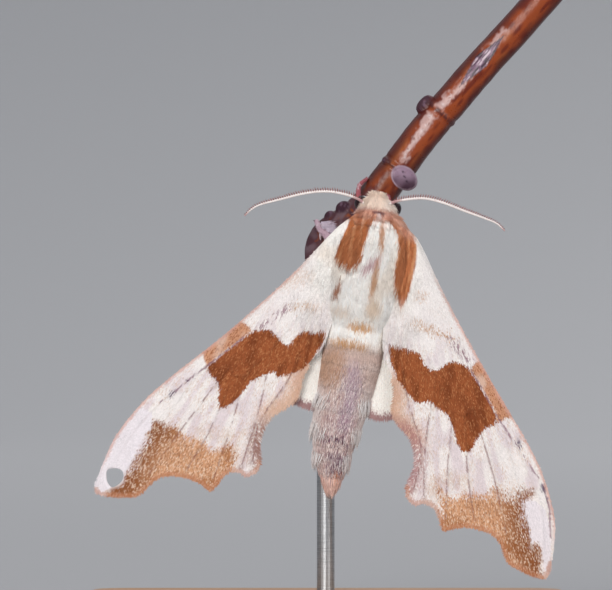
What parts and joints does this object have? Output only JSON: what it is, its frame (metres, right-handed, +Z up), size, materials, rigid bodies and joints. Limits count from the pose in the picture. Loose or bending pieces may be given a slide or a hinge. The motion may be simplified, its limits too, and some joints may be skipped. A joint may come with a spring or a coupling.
{
  "type": "lime hawk moth on a twig with display stand",
  "caption": "Life-size still model of a lime hawk moth at rest, wings half spread, holding a cut length of twig on a plain display stand.",
  "frame": {"origin": "centre of the underside of the stand's base, on the surface that it stands on", "axes": "+Z up, towards the moth's head; -Y towards the viewer of its back; +X to that viewer's right"},
  "size_m": [0.049, 0.03, 0.0655],
  "materials": {
    "fur": "short dense hair and hair-like scales, cream with tan and rust-brown patches",
    "wing_scales": "matt overlapping scales, creamy white with rust-brown band and tan outer field",
    "hindwing_scales": "matt overlapping scales, ochre with a dark band and pale inner edge",
    "eye": "dark glossy compound eye",
    "antenna": "white scaled shaft with a fine rosy-brown comb",
    "leg": "rosy lavender scales",
    "bark": "smooth glossy red-brown bark with pale weathered streaks and leaf scars",
    "stand_wood": "plain oiled wood",
    "stand_metal": "satin rod with a saucer"
  },
  "bodies": {
    "root": {"head": "fur", "thorax": "fur", "abdomen": "fur", "eye_left": "eye", "eye_right": "eye", "palp_left": "fur", "palp_right": "fur", "antenna_left": "antenna", "antenna_right": "antenna", "forewing_left": "wing_scales", "forewing_right": "wing_scales", "hindwing_left": "hindwing_scales", "hindwing_right": "hindwing_scales", "leg_front_left": "leg", "leg_front_right": "leg", "leg_middle_left": "leg", "leg_middle_right": "leg", "leg_hind_left": "leg", "leg_hind_right": "leg", "twig": "bark", "stand_rod": "stand_metal", "stand_base": "stand_wood"}
  },
  "joints": []
}
